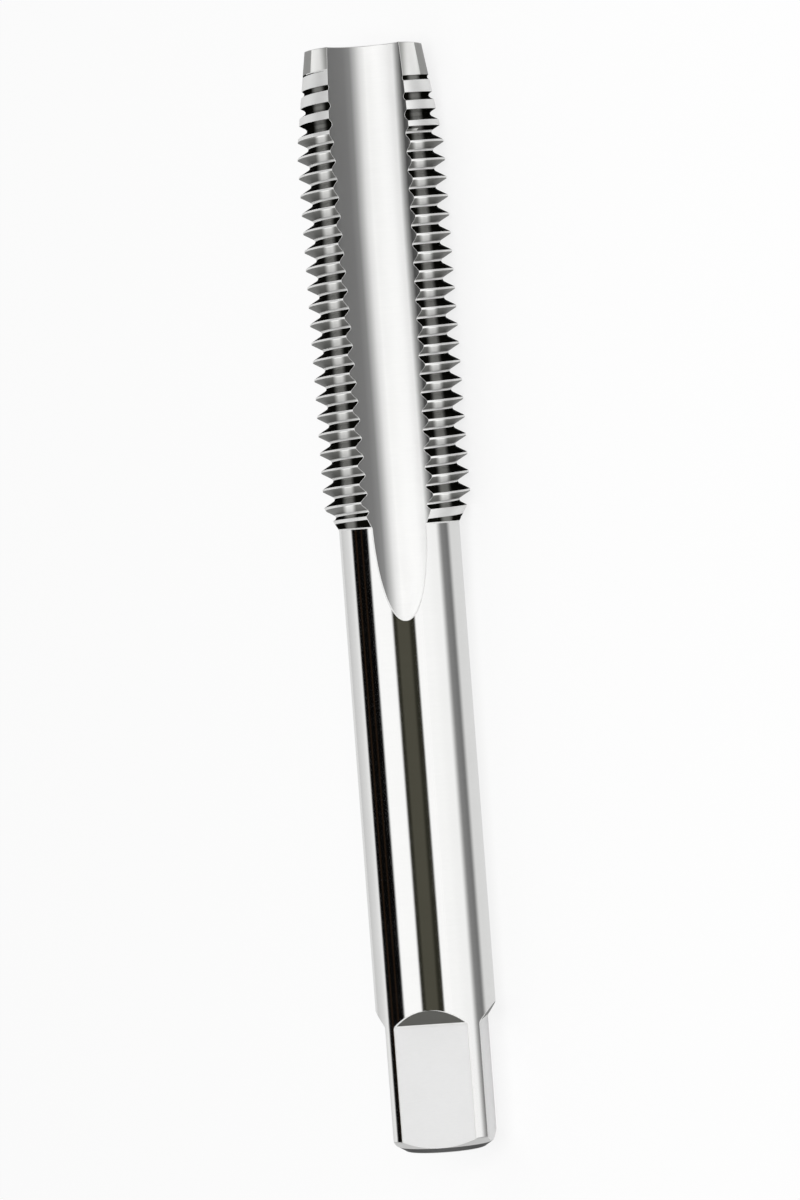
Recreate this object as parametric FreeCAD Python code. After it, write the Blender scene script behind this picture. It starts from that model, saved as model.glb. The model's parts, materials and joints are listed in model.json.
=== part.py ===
import FreeCAD, Part
import math
import os

# A straight-fluted hand tap: one piece of ground tool steel that cuts a
# right-hand metric thread. It lies on its side as it comes to rest on a bench,
# with one flute facing straight down and the tip towards +Y.
Vector = FreeCAD.Vector

# Driving dimensions of the thread, in millimetres and degrees
thread_diameter = 10.0
thread_pitch = 1.25
thread_angle = 60.0
crest_flat_per_pitch = 0.125
thread_depth_per_pitch = 0.6134
thread_length = 32.5
tip_diameter = 8.0
lead_length = 6.8
back_chamfer_angle = 30.0

# Driving dimensions of the flutes; the core between them is thinnest at the tip
flute_count = 3
flute_radius = 2.75
web_diameter = 3.5
core_taper_angle = 2.15
flute_length = 32.7
flute_wheel_radius = 22.7

# Driving dimensions of the shank and its driving square
shank_diameter = 8.2
shank_length = 42.5
square_across_flats = 6.5
square_length = 8.7
square_runout_angle = 38.0
square_turn = -53.0
end_face_diameter = 5.3
end_chamfer_length = 0.9

# Driving dimensions of the centre holes that the tap was ground on
tip_centre_diameter = 1.6
end_centre_diameter = 2.2
centre_pilot_diameter = 0.8
centre_pilot_depth = 1.0
centre_cone_angle = 60.0

# How far a cutting tool reaches past the metal that it takes off
tool_reach = 1.0
# Share of the room between two turns of the groove that its open side takes up
groove_opening_share = 0.5
# Height at which a thread crest crosses the middle of the upward side
thread_start = 0.93

# Sizes that follow from the driving dimensions
thread_radius = thread_diameter / 2
shank_radius = shank_diameter / 2
web_radius = web_diameter / 2
overall_length = thread_length + shank_length
flank_slope = math.tan(math.radians(thread_angle / 2))
crest_flat = crest_flat_per_pitch * thread_pitch
thread_depth = thread_depth_per_pitch * thread_pitch
root_radius = thread_radius - thread_depth
flute_centre = web_radius + flute_radius
blank_radius = max(thread_radius, shank_radius)


def along(radius, height):
    """A point of a section through the axis; the tip's end face is at height 0."""
    return Vector(radius, 0, height)


def closed_face(points):
    """A flat face inside the straight lines through the points."""
    return Part.Face(Part.makePolygon(points + points[:1]))


def turned(points):
    """A solid turned about the axis from the points of its half section."""
    return closed_face(points).revolve(Vector(0, 0, 0), Vector(0, 0, 1), 360)


def threaded_blank():
    """The part that carries the thread, before the groove and the flutes."""
    chamfer_drop = thread_radius - shank_radius
    chamfer_length = chamfer_drop / math.tan(math.radians(back_chamfer_angle))
    return turned([
        along(0, 0),
        along(tip_diameter / 2, 0),
        along(thread_radius, lead_length),
        along(thread_radius, thread_length - chamfer_length),
        along(shank_radius, thread_length),
        along(0, thread_length),
    ])


def shank_blank():
    """The plain shank with its coned end, before the square is cut."""
    return turned([
        along(0, thread_length),
        along(shank_radius, thread_length),
        along(shank_radius, overall_length - end_chamfer_length),
        along(end_face_diameter / 2, overall_length),
        along(0, overall_length),
    ])


def groove_turn():
    """One turn of the groove between the crests, from one downward side to the next."""
    opening = groove_opening_share * crest_flat / 2 / flank_slope
    outer_radius = thread_radius + opening
    half_outer = (thread_pitch - crest_flat) / 2 + opening * flank_slope
    half_root = half_outer - (outer_radius - root_radius) * flank_slope
    section = Part.makePolygon([
        along(root_radius, -half_root),
        along(outer_radius, -half_outer),
        along(outer_radius, half_outer),
        along(root_radius, half_root),
        along(root_radius, -half_root),
    ])
    helix = Part.makeHelix(thread_pitch, thread_pitch, root_radius)
    turn = Part.Wire(helix).makePipeShell([section], True, True)
    turn.rotate(Vector(0, 0, 0), Vector(0, 0, 1), 180)
    return turn


def thread_groove():
    """The whole groove, from beyond the tip to beyond the foot of the back chamfer."""
    turn = groove_turn()
    last = math.ceil(thread_length / thread_pitch)
    heights = [thread_start + thread_pitch * i for i in range(-2, last + 1)]
    return Part.makeCompound([turn.translated(along(0, height)) for height in heights])


def flute_tool():
    """The path of the grinding wheel: a straight slot that curves out of the metal."""
    bottom = along(web_radius, flute_length)
    side = along(flute_centre, flute_length)
    top = along(blank_radius + tool_reach, flute_length)
    half_width = Vector(0, flute_radius, 0)
    round_bottom = Part.Arc(side - half_width, bottom, side + half_width).toShape()
    section = Part.Face(Part.Wire([
        round_bottom,
        Part.makeLine(side + half_width, top + half_width),
        Part.makeLine(top + half_width, top - half_width),
        Part.makeLine(top - half_width, side - half_width),
    ]))
    slot = section.extrude(Vector(0, 0, -flute_length - tool_reach))
    wheel_centre = along(web_radius + flute_wheel_radius, flute_length)
    rise = blank_radius + tool_reach - web_radius
    wheel_turn = math.degrees(math.acos(1 - rise / flute_wheel_radius))
    run_out = section.revolve(wheel_centre, Vector(0, 1, 0), wheel_turn)
    tool = slot.fuse(run_out)
    tool.rotate(along(web_radius, 0), Vector(0, 1, 0), core_taper_angle)
    return tool


def square_tool():
    """What is ground off for one drive flat, with the slope where the wheel ran out."""
    flat = square_across_flats / 2
    flat_start = overall_length - square_length
    outer = shank_radius + tool_reach
    slope_length = (outer - flat) / math.tan(math.radians(square_runout_angle))
    section = closed_face([
        along(flat, flat_start),
        along(flat, overall_length + tool_reach),
        along(outer, overall_length + tool_reach),
        along(outer, flat_start - slope_length),
    ])
    section.translate(Vector(0, -outer, 0))
    return section.extrude(Vector(0, 2 * outer, 0))


def centre_tool(face_diameter):
    """A centre drill that enters the face at height 0 and points up the axis."""
    pilot = centre_pilot_diameter / 2
    cone_slope = math.tan(math.radians(centre_cone_angle / 2))
    cone_depth = (face_diameter / 2 - pilot) / cone_slope
    mouth = face_diameter / 2 + tool_reach * cone_slope
    return turned([
        along(0, -tool_reach),
        along(mouth, -tool_reach),
        along(pilot, cone_depth),
        along(pilot, cone_depth + centre_pilot_depth),
        along(0, cone_depth + centre_pilot_depth + pilot),
    ])


def around_axis(shape, angle):
    """A copy of the shape turned about the tap's axis."""
    return shape.rotated(Vector(0, 0, 0), Vector(0, 0, 1), angle)


def fluted(blank):
    """The blank with the flutes ground along it, one of them facing down."""
    flute = flute_tool()
    for i in range(flute_count):
        blank = blank.cut(around_axis(flute, 180 + 360 / flute_count * i))
    return blank


def threaded_end():
    """The cutting end, as far as the foot of the chamfer behind the thread."""
    threads = fluted(threaded_blank()).cut(thread_groove())
    return threads.cut(centre_tool(tip_centre_diameter))


def shank_end():
    """The shank with the flutes' run-outs, the drive flats and the end centre."""
    shank = fluted(shank_blank())
    flat = square_tool()
    for i in range(4):
        shank = shank.cut(around_axis(flat, square_turn + 90 * i))
    centre = centre_tool(end_centre_diameter)
    centre.rotate(Vector(0, 0, 0), Vector(1, 0, 0), 180)
    centre.translate(along(0, overall_length))
    return shank.cut(centre)


def hand_tap():
    """The whole tap as one solid, standing on its tip on the axis of height."""
    return threaded_end().fuse(shank_end()).Solids[0]


def lay_down(tap):
    """Lay the tap on the bench, flute down, tip towards +Y, centred on the origin."""
    upward = Vector(0, 0, 1)
    tap.Placement = FreeCAD.Placement(
        Vector(0, overall_length / 2, 0),
        FreeCAD.Rotation(upward, Vector(-1, 0, 0), Vector(0, -1, 0), "ZXY"))
    tap.translate(-tap.optimalBoundingBox(False, False).ZMin * upward)
    return tap


os.makedirs("parts", exist_ok=True)
lay_down(hand_tap()).exportStep("parts/hand_tap.step")
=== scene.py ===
import json
import math
import bpy
import numpy as np
from mathutils import Matrix, Vector
from mathutils.geometry import tessellate_polygon


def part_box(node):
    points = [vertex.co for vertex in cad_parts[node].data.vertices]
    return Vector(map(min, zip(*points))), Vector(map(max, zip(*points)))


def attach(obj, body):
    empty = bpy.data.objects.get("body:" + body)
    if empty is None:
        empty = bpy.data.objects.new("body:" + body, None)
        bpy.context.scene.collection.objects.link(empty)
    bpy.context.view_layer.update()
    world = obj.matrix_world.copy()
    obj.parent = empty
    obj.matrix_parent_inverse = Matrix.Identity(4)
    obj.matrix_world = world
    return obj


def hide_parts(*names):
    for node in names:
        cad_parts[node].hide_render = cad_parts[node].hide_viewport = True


# A straight-fluted hand tap, lying on a pale floor with one flute facing down.
# The sizes are in millimetres and degrees; the finished mesh is in metres.
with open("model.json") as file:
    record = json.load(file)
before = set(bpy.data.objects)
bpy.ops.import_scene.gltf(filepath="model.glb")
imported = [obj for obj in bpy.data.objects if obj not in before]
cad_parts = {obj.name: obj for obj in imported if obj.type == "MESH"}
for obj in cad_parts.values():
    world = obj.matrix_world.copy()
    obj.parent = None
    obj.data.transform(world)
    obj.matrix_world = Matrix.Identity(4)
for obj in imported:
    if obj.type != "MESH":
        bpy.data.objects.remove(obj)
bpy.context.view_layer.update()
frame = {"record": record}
MILLIMETRE = 0.001

# The thread, as it is in the solid
thread_radius = 5.0
thread_pitch = 1.25
thread_depth = 0.6134 * thread_pitch
half_crest = 0.125 * thread_pitch / 2
flank_tangent = math.tan(math.radians(30.0))
thread_length = 32.5
thread_start = 0.93
tip_radius = 4.0
lead_length = 6.8
chamfer_tangent = math.tan(math.radians(30.0))

# The flutes
flute_count = 3
flute_radius = 2.75
web_radius = 1.75
core_taper = math.radians(2.15)
wheel_start = 32.7
wheel_radius = 22.7

# The shank, its square and the centre holes
shank_radius = 4.1
overall_length = 75.0
flat_distance = 3.25
flat_start = overall_length - 8.7
runout_tangent = math.tan(math.radians(38.0))
square_turn = math.radians(-53.0)
end_face_radius = 2.65
end_chamfer_start = overall_length - 0.9
tip_centre_radius = 0.8
end_centre_radius = 1.1
centre_tangent = math.tan(math.radians(30.0))
pilot_radius = 0.4
pilot_depth = 1.0
pilot_point_radius = 0.01

# Half widths of the small rounded edges
crest_edge = 0.016
root_edge = 0.05
cutting_edge = 0.02
shank_edge = 0.05
square_edge = 0.09
face_edge = 0.04

# How finely each part of the surface is divided
land_steps = 24
flute_steps = 22
flat_steps = 8
centre_steps = 72
runout_rows = 44
shank_rows = 12
slope_rows = 14
flat_rows = 6
cone_rows = 12

# Rows of one turn of the thread, from the middle of a groove over the crest to the next,
# and the places among them where the crest, its high end, the flank and the root begin
rows_per_turn = 14
crest_place = 4
high_crest_place = 8
high_flank_place = 10
high_root_place = 12

# Turns below the first crest of the upward side, and turns in all beyond the thread's length
turns_below = 3
turns_beyond = 5

# How the edges are searched for: a first guess of half a flute's opening, and numbers of steps
opening_guess = math.radians(33.0)
opening_steps = 12
halving_steps = 36
crest_steps = 14

# Where the finish of the lands changes: at the first groove in the lead, at the height from
# which crests are nearly whole, and at the foot of the chamfer behind the thread, which is
# painted dark like the flanks that face the tip
first_groove_row = (turns_below + 1) * rows_per_turn
full_form_height = 5.9
chamfer_foot_length = 0.6

# The painted reflection, a lighter band along each side of a flute, and the direction of the
# first flute
band_aside = 3.25
first_flute_angle = math.radians(30.0)

# Degrees by which the painted shade on a flute's walls turns towards the tip, and over what
# length
wall_drift = 5.0
wall_drift_length = 12.0

# Where the middle of the grinding wheel was as it left each flute
wheel_out = web_radius + wheel_radius * math.cos(core_taper) + wheel_start * math.sin(core_taper)
wheel_height = wheel_start * math.cos(core_taper) - wheel_radius * math.sin(core_taper)

# The turned blank, by heights from the tip and radii
profile_heights = np.array([
    0.0, lead_length, thread_length - (thread_radius - shank_radius) / chamfer_tangent,
    thread_length, end_chamfer_start, overall_length])
profile_radii = np.array([
    tip_radius, thread_radius, thread_radius, shank_radius, shank_radius, end_face_radius])
profile_slopes = np.diff(profile_radii) / np.diff(profile_heights)

# Numbers of the finishes; the dark and lit flank finishes are painted reflections
PAINTED_DARK_FLANK, PAINTED_LIT_FLANK, CREST, LEAD, FLUTE, SHANK, EDGE, FLAT, RUNOUT, END, CONE = range(11)


def blank_radius(height):
    """Radius of the turned blank, before the thread groove and the flutes."""
    return np.interp(height, profile_heights, profile_radii)


def blank_slope(height):
    """Change of the blank's radius with height."""
    part = np.searchsorted(profile_heights, height, side="right") - 1
    return profile_slopes[np.clip(part, 0, len(profile_slopes) - 1)]


def land_surface(height, angle):
    """Radius and normal (outward, around, along) of the lands and the shank."""
    turns = (height - thread_start) / thread_pitch - angle / (2 * math.pi)
    offset = (turns - np.round(turns)) * thread_pitch
    fall = np.clip((np.abs(offset) - half_crest) / flank_tangent, 0, thread_depth)
    blank = blank_radius(height)
    on_groove = thread_radius - fall < blank - 1e-7
    on_flank = on_groove & (fall > 0) & (fall < thread_depth)
    radius = np.where(on_groove, thread_radius - fall, blank)
    slope = np.where(on_groove, 0.0, blank_slope(height))
    slope = np.where(on_flank, -np.sign(offset) / flank_tangent, slope)
    around = np.where(on_flank, slope * thread_pitch / (2 * math.pi * radius), 0.0)
    return radius, (np.ones_like(slope), around, -slope)


def flute_surface(bottom_angle, height):
    """Distance out, distance aside and normal on a flute, in the flute's own directions."""
    rise = flute_radius * (1 - np.cos(bottom_angle))
    straight_out = web_radius + rise / math.cos(core_taper) + height * math.tan(core_taper)
    reach = wheel_radius - rise
    wheel_swing = np.arcsin(np.clip((height - wheel_height) / reach, -1, 1))
    on_wheel = wheel_swing > core_taper
    swing = np.where(on_wheel, wheel_swing, core_taper)
    out = np.where(on_wheel, wheel_out - reach * np.cos(wheel_swing), straight_out)
    aside = flute_radius * np.sin(bottom_angle)
    normal = (np.cos(bottom_angle) * np.cos(swing),
              -np.sin(bottom_angle),
              -np.cos(bottom_angle) * np.sin(swing))
    return out, aside, normal


def flute_edge(height, radius):
    """Angle round the flute's bottom at which its wall reaches the given radius."""
    low = np.zeros_like(height)
    high = np.full_like(height, math.pi / 2)
    for _ in range(halving_steps):
        middle = (low + high) / 2
        out, aside, _ = flute_surface(middle, height)
        inside = np.hypot(out, aside) < radius
        low = np.where(inside, middle, low)
        high = np.where(inside, high, middle)
    return (low + high) / 2


def half_opening(bottom_angle, height):
    """Angle about the axis between the flute's middle and a point of its wall."""
    out, aside, _ = flute_surface(bottom_angle, height)
    return np.arctan2(aside, out)


def to_world(out, around, height, angle):
    """Points, or directions with height 0 for the axis, from the tap's own directions."""
    east = out * np.cos(angle) - around * np.sin(angle)
    north = out * np.sin(angle) + around * np.cos(angle)
    return np.stack([-north, -height, east], axis=-1)


def unit(vectors):
    """The vectors at length 1."""
    return vectors / np.linalg.norm(vectors, axis=-1, keepdims=True)


class Skin:
    """Collects grids of points, with their normals and finishes, into one mesh."""

    def __init__(self):
        self.points = []
        self.normals = []
        self.faces = []
        self.finishes = []
        self.walls = []
        self.count = 0

    def add_points(self, points, normals, wall=0.0):
        """Keeps a grid of points and returns the grid of their numbers."""
        shape = points.shape[:-1]
        numbers = np.arange(self.count, self.count + int(np.prod(shape))).reshape(shape)
        self.points.append(points.reshape(-1, 3))
        self.normals.append(unit(normals).reshape(-1, 3))
        self.walls.append(np.broadcast_to(wall, shape).reshape(-1))
        self.count += numbers.size
        return numbers

    def add_strip(self, first, second, finishes):
        """Joins two rows of point numbers with quads, one finish for each quad."""
        quads = np.stack([first[:-1], first[1:], second[1:], second[:-1]], axis=-1)
        self.faces.append(quads)
        self.finishes.append(np.broadcast_to(finishes, len(quads)))

    def add_grid(self, numbers, finishes):
        """Joins each row of a grid to the next, and its last column to its first."""
        numbers = np.concatenate([numbers, numbers[:, :1]], axis=1)
        for first, second in zip(numbers[:-1], numbers[1:]):
            self.add_strip(first, second, finishes)

    def add_triangles(self, triangles, finish):
        """Keeps single triangles, as quads that use their last point twice."""
        triangles = np.asarray(triangles)
        self.faces.append(np.concatenate([triangles, triangles[:, 2:]], axis=1))
        self.finishes.append(np.full(len(triangles), finish))

    def make(self, name, materials):
        """The mesh object, with like points joined and collapsed faces left out."""
        points_per_mm = 1e5
        normal_steps = 1e3
        points = np.concatenate(self.points)
        normals = np.concatenate(self.normals)
        spots = np.round(points * points_per_mm).astype(np.int64)
        leans = np.round(normals * normal_steps).astype(np.int64)
        keys = np.concatenate([spots, leans], axis=1)
        _, kept, where = np.unique(keys, axis=0, return_index=True, return_inverse=True)
        where = where.reshape(-1)
        _, spot_number = np.unique(spots, axis=0, return_inverse=True)
        spot_number = spot_number.reshape(-1)
        quads = np.concatenate(self.faces)
        finishes = np.concatenate(self.finishes)
        corners, used = [], []
        for quad, finish in zip(quads.tolist(), finishes.tolist()):
            loop = [quad[i] for i in range(4)
                    if spot_number[quad[i]] != spot_number[quad[i - 1]]]
            if len(set(spot_number[loop])) == len(loop) and len(loop) > 2:
                corners.append([int(where[i]) for i in loop])
                used.append(finish)
        points = points[kept] * MILLIMETRE
        normals = normals[kept]
        facing = [self.winds_outward(points, normals, loop) for loop in corners]
        corners = [loop if out else loop[::-1] for loop, out in zip(corners, facing)]
        mesh = bpy.data.meshes.new(name)
        mesh.from_pydata(points.tolist(), [], corners)
        mesh.polygons.foreach_set("material_index", used)
        mesh.polygons.foreach_set("use_smooth", [True] * len(corners))
        for material in materials:
            mesh.materials.append(material)
        mesh.normals_split_custom_set_from_vertices(normals.tolist())
        # The wall angles, which choose the painted shade on the flutes' walls
        wall = mesh.attributes.new("flute_wall", "FLOAT", "POINT")
        wall.data.foreach_set("value", np.concatenate(self.walls)[kept])
        thing = bpy.data.objects.new(name, mesh)
        bpy.context.scene.collection.objects.link(thing)
        return thing

    @staticmethod
    def winds_outward(points, normals, loop):
        """True if the face's own normal agrees with those of its corners."""
        first, second, third = points[loop[0]], points[loop[1]], points[loop[2]]
        own = np.cross(second - first, third - first)
        if len(loop) == 4:
            own = own + np.cross(third - first, points[loop[3]] - first)
        return float(own @ normals[loop].sum(axis=0)) > 0


def row_heights(row, angle):
    """Heights of the helical rows, which follow the thread, at given angles."""
    turn = row // rows_per_turn - turns_below
    place = row % rows_per_turn
    centre = thread_start + thread_pitch * (turn + angle / (2 * math.pi))
    half_root = half_crest + thread_depth * flank_tangent
    low = crest_limit(centre, -1)
    high = crest_limit(centre, 1)
    root_low = centre - half_root
    root_high = centre + half_root
    ladder = np.stack([
        centre - thread_pitch / 2, root_low - root_edge, root_low + root_edge,
        (root_low + low) / 2, low - crest_edge, low + crest_edge,
        low + (high - low) / 4, (low + high) / 2, high - (high - low) / 4,
        high - crest_edge, high + crest_edge, (root_high + high) / 2,
        root_high - root_edge, root_high + root_edge])
    ladder = np.sort(ladder, axis=0)
    place = np.broadcast_to(place, centre.shape)
    height = np.take_along_axis(ladder, place[None], axis=0)[0]
    return np.clip(height, face_edge, thread_length - shank_edge)


def crest_limit(centre, side):
    """Height at which a flank meets the crest that the blank leaves it."""
    height = centre + side * half_crest
    for _ in range(crest_steps):
        cut = np.clip(thread_radius - blank_radius(height), 0, thread_depth)
        height = centre + side * (half_crest + cut * flank_tangent)
    return height


def flat_row_heights(row, angle):
    """Heights of the level rows round the flutes' run-outs."""
    last = flute_end_height()
    first = thread_length + shank_edge
    share = 1 - (1 - row / (runout_rows - 1)) ** 2
    return np.broadcast_to(first + (last - first) * share, np.broadcast(row, angle).shape)


def flute_end_height():
    """Height at which the wheel leaves the shank."""
    return wheel_height + math.sqrt(wheel_radius ** 2 - (wheel_out - shank_radius) ** 2)


def fluted_grid(rows, heights_of):
    """Points, normals and wall angles of the lands and flutes in turn, row by row."""
    row = np.arange(rows)[:, None]
    sides = []
    for land in range(flute_count):
        for side in (-1, 1):
            flute_angle = 2 * math.pi / flute_count * (land + side / 2)
            sides.append(land_side(row, flute_angle, -side, heights_of))
    columns, normals, walls = [], [], []
    for land in range(flute_count):
        left, right = sides[2 * land], sides[2 * land + 1]
        share = np.linspace(0, 1, land_steps + 1)[None]
        angle = left["angle"] * (1 - share) + right["angle"] * share
        height = heights_of(row, angle)
        radius, normal = land_surface(height, angle)
        columns.append(to_world(radius, 0 * radius, height, angle))
        normals.append(to_world(normal[0], normal[1], normal[2], angle))
        walls.append(0 * angle)
        following = sides[(2 * land + 2) % len(sides)]
        shift = rows_per_turn if land == flute_count - 1 and heights_of is row_heights else 0
        for kept, part in zip((columns, normals, walls),
                              flute_patch(right, following, shift, land)):
            kept.append(part)
    return [np.concatenate(parts, axis=1) for parts in (columns, normals, walls)]


def land_side(row, flute_angle, side, heights_of):
    """One long edge of a land, which is also an edge of the flute beside it."""
    angle = np.full(row.shape, flute_angle + side * opening_guess)
    for _ in range(opening_steps):
        height = heights_of(row, angle)
        radius, _ = land_surface(height, angle)
        bottom = flute_edge(height, radius)
        angle = flute_angle + side * half_opening(bottom, height)
    on_shank = height > thread_length
    edge = np.where(on_shank, shank_edge, cutting_edge)
    edge = np.minimum(edge, flute_radius * bottom / 2)
    return {"angle": angle + side * edge / radius, "height": height,
            "bottom": bottom - edge / flute_radius}


def flute_patch(before, after, shift, land):
    """Points, normals and wall angles of one flute, from the edge before it to the next."""
    after_height = np.roll(after["height"], -shift, axis=0)
    after_bottom = np.roll(after["bottom"], -shift, axis=0)
    if shift:
        after_height[-shift:] = after["height"][-1]
        after_bottom[-shift:] = after["bottom"][-1]
    share = np.linspace(0, 1, flute_steps + 1)[None]
    height = before["height"] * (1 - share) + after_height * share
    bottom = -before["bottom"] * (1 - share) + after_bottom * share
    out, aside, normal = flute_surface(bottom, height)
    angle = np.full_like(out, 2 * math.pi / flute_count * (land + 0.5))
    return (to_world(out, aside, height, angle),
            to_world(normal[0], normal[1], normal[2], angle),
            # Wall angles, turned by the drift near the tip, choose the painted shade on the walls
            np.degrees(bottom) + wall_drift * np.clip(1 - height / wall_drift_length, 0, 1))


def fluted_finishes(land_finish):
    """Finish of each column of quads in a fluted grid."""
    one = [EDGE] + [land_finish] * land_steps + [EDGE] + [FLUTE] * flute_steps
    return np.roll(np.array(one * flute_count), -1)


def thread_finishes(height):
    """Finish of each helical quad; flanks facing the tip are painted dark, those facing the
    square lit.
    """
    row = np.arange(len(height))[:, None]
    place = row % rows_per_turn
    grooved = blank_radius(height) > thread_radius - thread_depth
    full_form = height > full_form_height
    towards_tip = grooved & (place < crest_place)
    towards_square = grooved & (place >= high_flank_place)
    beside_crest = full_form & (place >= high_crest_place) & (place < high_flank_place)
    root_line = grooved & full_form & (place >= high_root_place)
    by_land = height.reshape(len(height), flute_count, -1)
    land_middle = np.repeat(by_land[:, :, land_steps // 2], by_land.shape[2], axis=1)
    chamfer_foot = land_middle > thread_length - chamfer_foot_length
    on_land = np.where(row < first_groove_row, LEAD, CREST)
    on_land = np.where(towards_square & ~full_form, PAINTED_DARK_FLANK, on_land)
    on_land = np.where(towards_square & full_form | beside_crest, PAINTED_LIT_FLANK, on_land)
    on_land = np.where(root_line, CREST, on_land)
    on_land = np.where(towards_tip | chamfer_foot, PAINTED_DARK_FLANK, on_land)
    by_column = fluted_finishes(CREST)[None]
    return np.where(by_column == CREST, on_land, by_column)


def add_fluted_part(skin):
    """The threaded lands, the flutes and their run-outs in the shank."""
    turns = math.ceil(thread_length / thread_pitch) + turns_beyond
    points, normals, walls = fluted_grid(turns * rows_per_turn, row_heights)
    numbers = skin.add_points(points, normals, walls)
    finishes = thread_finishes(-points[..., 1])
    for first, second, finish in zip(numbers[:-1], numbers[1:], finishes):
        skin.add_strip(first, second, finish[:-1])
    seam_before = numbers[:-rows_per_turn, -1]
    seam_after = numbers[rows_per_turn:, 0]
    seam = np.stack([seam_before, seam_after], axis=1)
    for first, second in zip(seam[:-1], seam[1:]):
        skin.add_strip(first, second, [EDGE])
    points, normals, walls = fluted_grid(runout_rows, flat_row_heights)
    level = skin.add_points(points, normals, walls)
    skin.add_grid(level, fluted_finishes(SHANK))
    skin.add_grid(np.stack([numbers[-1], level[0]]), fluted_finishes(EDGE))
    add_tip_face(skin, numbers[0])


def add_tip_face(skin, rim):
    """The flat end face at the tip, its small edge and its centre hole."""
    points = np.concatenate(skin.points)[rim]
    normals = np.concatenate(skin.normals)[rim]
    axis = np.array([0.0, 1.0, 0.0])
    inset = points - face_edge * unit(normals * np.array([1.0, 0.0, 1.0]))
    inset[:, 1] = 0.0
    facing = np.broadcast_to(axis, inset.shape)
    face = skin.add_points(inset, facing)
    skin.add_grid(np.stack([rim, face]), END)
    hole = add_centre_hole(skin, 0.0, tip_centre_radius, -1)
    outline = [Vector(p) for p in np.concatenate(skin.points)[face]]
    opening = [Vector(p) for p in np.concatenate(skin.points)[hole]]
    everything = np.concatenate([face, hole])
    skin.add_triangles(everything[np.array(tessellate_polygon([outline, opening]))], END)


def ring(skin, height, radius, normal_out, normal_along):
    """One level ring of points about the axis, with a normal that leans along it."""
    angle = square_turn + np.linspace(0, 2 * math.pi, centre_steps, endpoint=False)
    zero = np.zeros(centre_steps)
    points = to_world(zero + radius, zero, zero + height, angle)
    normals = to_world(zero + normal_out, zero, zero + normal_along, angle)
    return skin.add_points(points, normals)


def add_centre_hole(skin, face_height, mouth, outward):
    """A centre hole with a 60 degree cone; outward is the way its face looks."""
    depth = (mouth - pilot_radius) / centre_tangent
    lip = face_edge / 2
    levels = [
        (0.0, mouth + lip, 0.0, outward),
        (lip, mouth - lip * centre_tangent, -1.0, outward * centre_tangent),
        (depth - lip, pilot_radius + lip * centre_tangent, -1.0, outward * centre_tangent),
        (depth + lip, pilot_radius, -1.0, 0.0),
        (depth + pilot_depth, pilot_radius, -1.0, 0.0),
        (depth + pilot_depth, pilot_radius, -1.0, outward),
        (depth + pilot_depth + pilot_radius, pilot_point_radius, -1.0, outward),
    ]
    rings = [ring(skin, face_height - outward * down, radius, out, along)
             for down, radius, out, along in levels]
    skin.add_grid(np.stack(rings), END)
    return rings[0]


def add_plain_shank(skin):
    """The round shank, from the flutes' ends to the run-outs of the square."""
    start = flute_end_height()
    end = runout_top()
    columns = flute_count * land_steps
    step = 2 * math.pi / columns
    first = -math.pi / flute_count
    turn = (square_turn - first) % step
    share = np.linspace(0, 1, shank_rows)[:, None]
    angle = first + step * np.arange(columns)[None] + turn * share
    height = start + (end - start) * share + 0 * angle
    radius = np.full_like(angle, shank_radius)
    zero = np.zeros_like(angle)
    numbers = skin.add_points(to_world(radius, zero, height, angle),
                              to_world(radius, zero, zero, angle))
    skin.add_grid(numbers, SHANK)


def runout_top():
    """Height at which the slopes of the square's run-outs leave the shank."""
    return flat_start - (shank_radius - flat_distance) / runout_tangent


def square_rows():
    """Heights of the level rows from the run-outs of the square to the end face."""
    rounding = 2 * face_edge
    start = runout_top()
    runout = start + (flat_start - rounding - start) * np.linspace(0, 1, slope_rows) ** 2
    flat = np.linspace(flat_start + rounding, end_chamfer_start - face_edge, flat_rows)
    first = end_chamfer_start + face_edge
    chamfer = first + (flat_end() - first) * (1 - np.linspace(1, 0, cone_rows) ** 2)
    return np.concatenate([runout, flat, chamfer, [overall_length - face_edge]])


def flat_end():
    """Height at which the cone of the end cuts the flats off."""
    share = (shank_radius - flat_distance) / (shank_radius - end_face_radius)
    return end_chamfer_start + (overall_length - end_chamfer_start) * share


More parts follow.
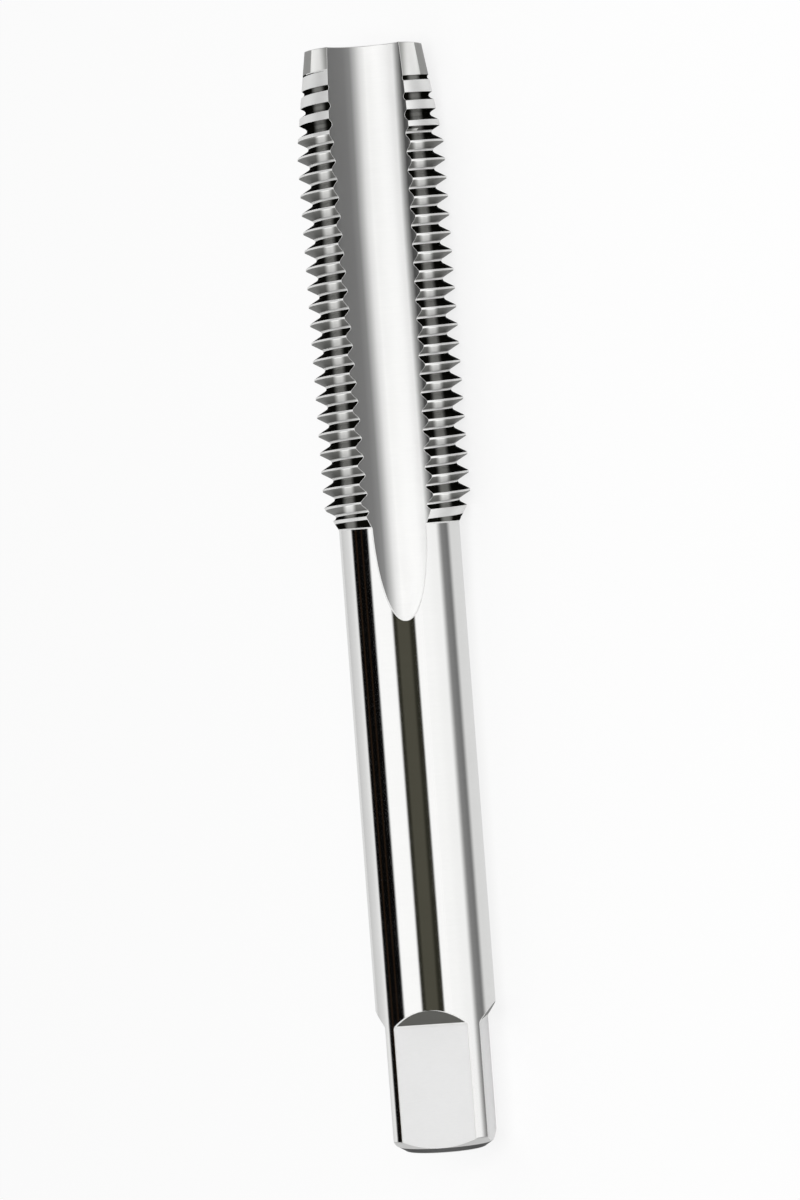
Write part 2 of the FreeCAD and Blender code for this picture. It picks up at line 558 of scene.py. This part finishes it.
def add_square_end(skin):
    """The driving square, the rounded edges of its flats and the coned end."""
    height = square_rows()[:, None]
    radius = blank_radius(height)
    slope = np.where(height > end_chamfer_start, blank_slope(height), 0.0)
    sloped = height < flat_start
    distance = flat_distance + np.where(sloped, (flat_start - height) * runout_tangent, 0.0)
    half_angle = np.arccos(np.clip(distance / radius, -1, 1))
    half_angle[0] = 0.0
    half_angle[-2:] = 0.0
    edge = np.minimum(square_edge, radius * half_angle / 2)
    columns, normals, finishes = [], [], []
    for side in range(4):
        turn = square_turn + side * math.pi / 2
        share = np.linspace(-1, 1, flat_steps + 1)[None]
        aside = share * (radius * np.sin(half_angle) - edge)
        out = np.where(half_angle > 0, distance, radius) + 0 * aside
        lean = np.where(sloped, runout_tangent, 0.0) + 0 * aside
        angle = np.full_like(aside, turn)
        columns.append(to_world(out, aside, height + 0 * aside, angle))
        normals.append(to_world(np.ones_like(out), 0 * out, lean, angle))
        share = np.linspace(0, 1, land_steps * flute_count // 4 + 1)[None]
        inset = half_angle + edge / radius
        angle = turn + inset + (math.pi / 2 - 2 * inset) * share
        wide = radius + 0 * angle
        columns.append(to_world(wide, 0 * wide, height + 0 * wide, angle))
        normals.append(to_world(np.ones_like(wide), 0 * wide, -slope + 0 * wide, angle))
        finishes += [FLAT] * flat_steps + [EDGE] + [SHANK] * (share.size - 1) + [EDGE]
    numbers = skin.add_points(np.concatenate(columns, axis=1), np.concatenate(normals, axis=1))
    finishes = np.array(finishes)
    closed = np.concatenate([numbers, numbers[:, :1]], axis=1)
    for i in range(len(height) - 1):
        row_finish = finishes
        if height[i + 1, 0] < flat_start:
            row_finish = np.where(finishes == FLAT, RUNOUT, finishes)
        elif height[i, 0] < flat_start:
            row_finish = np.where(finishes == FLAT, EDGE, finishes)
        elif height[i + 1, 0] > flat_end():
            row_finish = np.where(finishes == SHANK, CONE, finishes)
        elif height[i + 1, 0] > end_chamfer_start:
            row_finish = np.where(finishes == SHANK, END, finishes)
        skin.add_strip(closed[i], closed[i + 1], row_finish)
    add_end_face(skin)


def add_end_face(skin):
    """The face at the square's end, with its small edge and centre hole."""
    slope = -profile_slopes[-1]
    cone = ring(skin, overall_length - face_edge,
                end_face_radius + face_edge * slope, 1.0, slope)
    outer = ring(skin, overall_length, end_face_radius - face_edge, 0.0, 1.0)
    skin.add_grid(np.stack([cone, outer]), END)
    hole = add_centre_hole(skin, overall_length, end_centre_radius, 1)
    skin.add_grid(np.stack([outer, hole]), END)


def build_tap(materials):
    """The whole tap as one mesh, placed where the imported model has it."""
    skin = Skin()
    add_fluted_part(skin)
    add_plain_shank(skin)
    add_square_end(skin)
    tap = skin.make("ground_tap", materials)
    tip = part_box("hand_tap")[1].y
    tap.data.transform(Matrix.Translation((0.0, tip, axis_height())))
    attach(tap, "root")
    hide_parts("hand_tap")


class Nodes:
    """Adds nodes to a node tree and joins them."""

    def __init__(self, tree):
        self.tree = tree

    def add(self, kind, inputs=None, **settings):
        """A node of that kind; an input is a plain value or another node's socket."""
        node = self.tree.nodes.new(kind)
        for name, value in settings.items():
            setattr(node, name, value)
        for name, value in (inputs or {}).items():
            if isinstance(value, bpy.types.NodeSocket):
                self.tree.links.new(value, node.inputs[name])
            else:
                node.inputs[name].default_value = value
        return node

    def math(self, operation, first, second=0.0):
        """The result of one sum on two numbers or sockets."""
        return self.add("ShaderNodeMath", {0: first, 1: second}, operation=operation).outputs[0]


def steel(name, colour, roughness, marks, mark_depth, spread=0.05, metal=1.0, band=None,
          walls=None, gloss=0.5, rim=1.0):
    """Ground tool steel, with gloss and rim as its specular level and tint.

    The marks are the scales of the grinding marks across, along and upward.
    """
    fine_share = 0.65
    dark_share = 0.90
    material = bpy.data.materials.new(name)
    material.use_nodes = True
    material.node_tree.nodes.clear()
    nodes = Nodes(material.node_tree)
    place = nodes.add("ShaderNodeTexCoord").outputs["Object"]
    stretched = nodes.add("ShaderNodeMapping", {"Vector": place, "Scale": marks})
    fine = nodes.add("ShaderNodeTexNoise", {
        "Vector": stretched.outputs[0], "Scale": 1.0, "Detail": 4.0, "Roughness": 0.65})
    cloud = nodes.add("ShaderNodeTexNoise", {
        "Vector": place, "Scale": 420.0, "Detail": 2.0, "Roughness": 0.5})
    mixed = nodes.math("ADD", nodes.math("MULTIPLY", fine.outputs[0], fine_share),
                       nodes.math("MULTIPLY", cloud.outputs[0], 1 - fine_share))
    rough = nodes.add("ShaderNodeMapRange", {
        "Value": mixed, "From Min": 0.3, "From Max": 0.7,
        "To Min": max(roughness - spread, 0.02), "To Max": roughness + spread})
    dark = [c * dark_share for c in colour]
    tone = nodes.add("ShaderNodeMix", {
        "Factor": mixed, "A": (*dark, 1.0), "B": (*colour, 1.0)}, data_type="RGBA")
    shade = tone.outputs["Result"]
    # The band paints a lighter reflection beside the flutes
    if band:
        shade = with_painted_band(nodes, place, shade, *band)
    # The walls paint shade on the flutes' walls
    if walls:
        shade = with_painted_wall_shade(nodes, shade, walls)
    bump = nodes.add("ShaderNodeBump", {
        "Height": fine.outputs[0], "Strength": 1.0, "Distance": mark_depth})
    surface = nodes.add("ShaderNodeBsdfPrincipled", {
        "Base Color": shade, "Metallic": metal, "Roughness": rough.outputs[0],
        "Specular IOR Level": gloss, "Specular Tint": (rim, rim, rim, 1.0),
        "Normal": bump.outputs[0]})
    output = nodes.add("ShaderNodeOutputMaterial")
    material.node_tree.links.new(surface.outputs[0], output.inputs[0])
    return material


def with_painted_band(nodes, place, shade, colour, half_width):
    """The shade, with a painted reflection: a straight band of another colour beside the flutes.

    The sides of the lands that look away from the first flute have none.
    """
    plain_share = 0.25
    parts = nodes.add("ShaderNodeSeparateXYZ", {0: place}).outputs
    upward = nodes.math("SUBTRACT", parts["Z"], axis_height())
    angle = nodes.math("SUBTRACT", nodes.math("ARCTAN2", upward, parts["X"]), first_flute_angle)
    repeated = nodes.math("COSINE", nodes.math("MULTIPLY", angle, flute_count))
    from_flute = nodes.math("DIVIDE", nodes.math("ARCCOSINE", repeated), flute_count)
    squares = nodes.math("ADD", nodes.math("POWER", parts["X"], 2.0),
                         nodes.math("POWER", upward, 2.0))
    aside = nodes.math("MULTIPLY", nodes.math("SQRT", squares), nodes.math("SINE", from_flute))
    away = nodes.math("ABSOLUTE", nodes.math("SUBTRACT", aside, band_aside * MILLIMETRE))
    inside = nodes.add("ShaderNodeMapRange", {
        "Value": away, "From Min": half_width * MILLIMETRE * plain_share,
        "From Max": half_width * MILLIMETRE, "To Min": 1.0, "To Max": 0.0},
        interpolation_type="SMOOTHSTEP")
    from_first = nodes.math("ARCCOSINE", nodes.math("COSINE", angle))
    from_side = nodes.math("ABSOLUTE", nodes.math("SUBTRACT", from_first, math.pi / 2))
    banded_side = nodes.math("GREATER_THAN", from_side, math.pi / 6)
    share = nodes.math("MULTIPLY", inside.outputs[0], banded_side)
    blend = nodes.add("ShaderNodeMix", {
        "Factor": share, "A": shade, "B": (*colour, 1.0)}, data_type="RGBA")
    return blend.outputs["Result"]


def with_painted_wall_shade(nodes, shade, walls):
    """The colour, darkened on a flute's walls by painted shade that follows the angle round its
    bottom.
    """
    wall = nodes.add("ShaderNodeAttribute", attribute_name="flute_wall").outputs["Fac"]
    place = nodes.add("ShaderNodeMapRange", {
        "Value": wall, "From Min": -90.0, "From Max": 90.0, "To Min": 0.0, "To Max": 1.0})
    ramp = nodes.add("ShaderNodeValToRGB", {0: place.outputs[0]})
    set_stops(ramp.color_ramp, [((angle + 90) / 180, grey) for angle, grey in walls])
    blend = nodes.add("ShaderNodeMix", {
        "Factor": 1.0, "A": shade, "B": ramp.outputs[0]}, data_type="RGBA", blend_type="MULTIPLY")
    return blend.outputs["Result"]


def set_stops(ramp, stops):
    """Gives a colour ramp its stops, each a position and a grey or a colour."""
    for position, _ in stops[2:]:
        ramp.elements.new(position)
    for element, (position, colour) in zip(ramp.elements, stops):
        element.position = position
        element.color = (*colour, 1.0) if isinstance(colour, tuple) else (*[colour] * 3, 1.0)


def axis_height():
    """Height of the tap's axis above the floor, in metres, from the record."""
    shank = next(m for m in frame["record"]["mounts"] if m["name"] == "shank")
    return shank["pos_m"][2]


def steels():
    """The finishes, in the order of their numbers."""
    fine = (1500, 9000, 1500)
    coarse = (2500, 9000, 2500)
    black, grey, light = (0.004, 0.004, 0.003), (0.20, 0.20, 0.19), (0.98, 0.98, 0.96)
    # Greys of the painted shade on a flute's walls, by the angle round its bottom
    walls = [(-90, 0.16), (-66, 0.03), (-58, 0.05), (-48, 0.44), (-40, 1.0), (-20, 0.96),
             (-6, 1.0), (3, 1.0), (11, 0.78), (18, 0.48), (26, 0.22), (36, 0.17), (90, 0.17)]
    return [
        # Painted reflections: flanks facing the tip near black, those facing the square grey,
        # each with a lighter band
        steel("flank_to_tip_painted_dark", black, 0.30, fine, 4e-7, metal=0.2, band=(grey, 0.5), gloss=0.0,
              rim=0.1),
        steel("flank_to_square_painted_lit", (0.21, 0.21, 0.20), 0.40, fine, 4e-7, metal=0.15,
              band=(light, 0.5), gloss=0.15, rim=0.5),
        steel("crest_ground", (0.98, 0.98, 0.97), 0.45, fine, 4e-7, metal=0.6),
        # The lead's grey with a light band beside the flutes is a painted reflection
        steel("lead_ground", (0.34, 0.34, 0.33), 0.35, fine, 4e-7, metal=0.4,
              band=(light, 0.8), gloss=0.2, rim=0.6),
        steel("flute_ground", (0.98, 0.98, 0.97), 0.46, (700, 14000, 700), 8e-7, 0.06,
              metal=0.3, walls=walls),
        steel("shank_ground", (0.93, 0.93, 0.92), 0.08, (500, 16000, 500), 3e-7, 0.03),
        steel("edge_ground", (0.96, 0.96, 0.95), 0.50, fine, 3e-7, metal=0.6),
        steel("flat_ground", (0.91, 0.91, 0.91), 0.55, coarse, 1e-6, metal=0.45),
        # The run-outs' steel is painted far darker than the flats: painted shade for the dark
        # they reflect
        steel("runout_painted_dark", (0.14, 0.14, 0.13), 0.45, coarse, 1.5e-6),
        steel("end_ground", (0.74, 0.74, 0.73), 0.32, (6000, 900, 6000), 8e-7),
        steel("end_cone", (0.18, 0.18, 0.18), 0.30, (900, 9000, 900), 8e-7, rim=0.4),
    ]


def add_camera():
    """The camera at the photograph's viewing angle, above the tap and to its side."""
    elevation = math.radians(30.0)
    lean = math.radians(4.34)
    distance = 0.4
    towards_tip = 0.005
    aim_aside = 0.00032
    aim_down = 0.00005
    away = Vector((math.cos(elevation), 0.0, math.sin(elevation)))
    along = Vector((0.0, 1.0, 0.0))
    across = (-away).cross(along)
    axis = Vector((0.0, 0.0, axis_height()))
    eye = axis + along * towards_tip + away * distance
    aim = axis - across * aim_aside - along * aim_down
    back = (eye - aim).normalized()
    right = (along * math.cos(lean) + across * math.sin(lean)).cross(back).normalized()
    up = back.cross(right)
    data = bpy.data.cameras.new("camera")
    data.lens = 176.56
    data.sensor_width = 36.0
    data.clip_start = 0.01
    data.clip_end = 20.0
    camera = bpy.data.objects.new("camera", data)
    bpy.context.scene.collection.objects.link(camera)
    turn = Matrix((right, up, back)).transposed().to_4x4()
    camera.matrix_world = Matrix.Translation(eye) @ turn
    bpy.context.scene.camera = camera


def add_floor():
    """A white floor, which the camera sees as nearly white; polished metal sees a painted shadow
    beside the tap.
    """
    half = 1.5
    camera_share = 0.8
    mirrored_share = 0.9
    mesh = bpy.data.meshes.new("floor")
    corners = [(-half, -half, 0), (half, -half, 0), (half, half, 0), (-half, half, 0)]
    mesh.from_pydata(corners, [], [(0, 1, 2, 3)])
    floor = bpy.data.objects.new("floor", mesh)
    bpy.context.scene.collection.objects.link(floor)
    material = bpy.data.materials.new("floor_white")
    material.use_nodes = True
    material.node_tree.nodes.clear()
    nodes = Nodes(material.node_tree)
    path = nodes.add("ShaderNodeLightPath").outputs
    matt = nodes.add("ShaderNodeBsdfDiffuse", {"Color": (0.90, 0.90, 0.90, 1.0)})
    strength = nodes.math("MULTIPLY", painted_floor_shadow(nodes), path["Is Glossy Ray"])
    strength = nodes.math("ADD", strength, nodes.math("SUBTRACT", 1.0, path["Is Glossy Ray"]))
    bright = nodes.add("ShaderNodeEmission", {
        "Color": (1.0, 1.0, 1.0, 1.0), "Strength": strength})
    seen = nodes.math("MAXIMUM", path["Is Camera Ray"], path["Is Transmission Ray"])
    share = nodes.math("ADD", nodes.math("MULTIPLY", seen, camera_share),
                       nodes.math("MULTIPLY", path["Is Glossy Ray"], mirrored_share))
    mixed = nodes.add("ShaderNodeMixShader", {0: share, 1: matt.outputs[0], 2: bright.outputs[0]})
    output = nodes.add("ShaderNodeOutputMaterial")
    material.node_tree.links.new(mixed.outputs[0], output.inputs[0])
    mesh.materials.append(material)


def painted_floor_shadow(nodes):
    """How bright polished metal sees the floor: a painted shadow, a grey strip close beside the
    tap.
    """
    reach = 0.02
    place = nodes.add("ShaderNodeNewGeometry").outputs["Position"]
    beside = nodes.add("ShaderNodeSeparateXYZ", {0: place}).outputs["X"]
    ramp = nodes.add("ShaderNodeValToRGB", {0: nodes.math("DIVIDE", beside, reach)})
    ramp.color_ramp.interpolation = "EASE"
    # Greys of the painted shadow, by the distance beside the tap in millimetres
    shades = [(0.0, 0.74), (3.8, 0.74), (4.9, 0.12), (6.0, 0.16), (8.4, 1.0), (20.0, 1.05)]
    set_stops(ramp.color_ramp, [(x * MILLIMETRE / reach, grey) for x, grey in shades])
    return ramp.outputs[0]


def add_world():
    """A white studio; polished metal also sees an olive and a black card along the tap."""
    plain_strength = 0.55
    mirrored_extra = 0.52
    world = bpy.data.worlds.new("studio")
    bpy.context.scene.world = world
    world.use_nodes = True
    world.node_tree.nodes.clear()
    nodes = Nodes(world.node_tree)
    direction = nodes.add("ShaderNodeTexCoord").outputs["Generated"]
    parts = nodes.add("ShaderNodeSeparateXYZ", {0: direction}).outputs
    angle = nodes.math("DIVIDE", nodes.math("ARCTAN2", parts["Z"], parts["X"]), math.pi)
    ramp = nodes.add("ShaderNodeValToRGB", {0: angle})
    white, olive, shade = 1.0, (0.070, 0.067, 0.050), (0.024, 0.023, 0.016)
    black, brown = (0.001, 0.001, 0.001), (0.022, 0.012, 0.006)
    bands = [(0, white), (12, white), (15, shade), (22, shade), (27, olive), (46, olive),
             (50, shade), (54, shade), (58, white), (91, white), (95, black), (106, black),
             (108, brown), (111, black), (120, black), (123, brown), (126, black),
             (133, black), (137, 0.84), (150, 0.70), (168, 0.61), (180, 0.56)]
    set_stops(ramp.color_ramp, [(degrees / 180, colour) for degrees, colour in bands])
    glossy = nodes.add("ShaderNodeLightPath").outputs["Is Glossy Ray"]
    beside = nodes.math("ABSOLUTE", parts["Y"])
    away = nodes.add("ShaderNodeMapRange", {
        "Value": beside, "From Min": 0.75, "From Max": 0.9, "To Min": 1.0, "To Max": 0.0})
    share = nodes.math("MULTIPLY", glossy, away.outputs[0])
    colour = nodes.add("ShaderNodeMix", {
        "Factor": share, "A": (1.0, 1.0, 1.0, 1.0), "B": ramp.outputs[0]}, data_type="RGBA")
    extra = nodes.math("MULTIPLY", glossy, mirrored_extra)
    strength = nodes.math("ADD", plain_strength, extra)
    sky = nodes.add("ShaderNodeBackground", {
        "Color": colour.outputs["Result"], "Strength": strength})
    output = nodes.add("ShaderNodeOutputWorld")
    world.node_tree.links.new(sky.outputs[0], output.inputs[0])


def add_lamp():
    """One soft lamp on the camera's side, which polished metal does not mirror."""
    data = bpy.data.lights.new("softbox", "AREA")
    data.shape = "RECTANGLE"
    data.size = 0.25
    data.size_y = 0.35
    data.energy = 2.3
    lamp = bpy.data.objects.new("softbox", data)
    lamp.location = (0.42, 0.03, 0.40)
    lamp.rotation_euler = lamp.location.to_track_quat("Z", "Y").to_euler()
    lamp.visible_glossy = False
    bpy.context.scene.collection.objects.link(lamp)


add_camera()
add_floor()
add_world()
add_lamp()
build_tap(steels())
bpy.context.scene.view_settings.view_transform = "Standard"
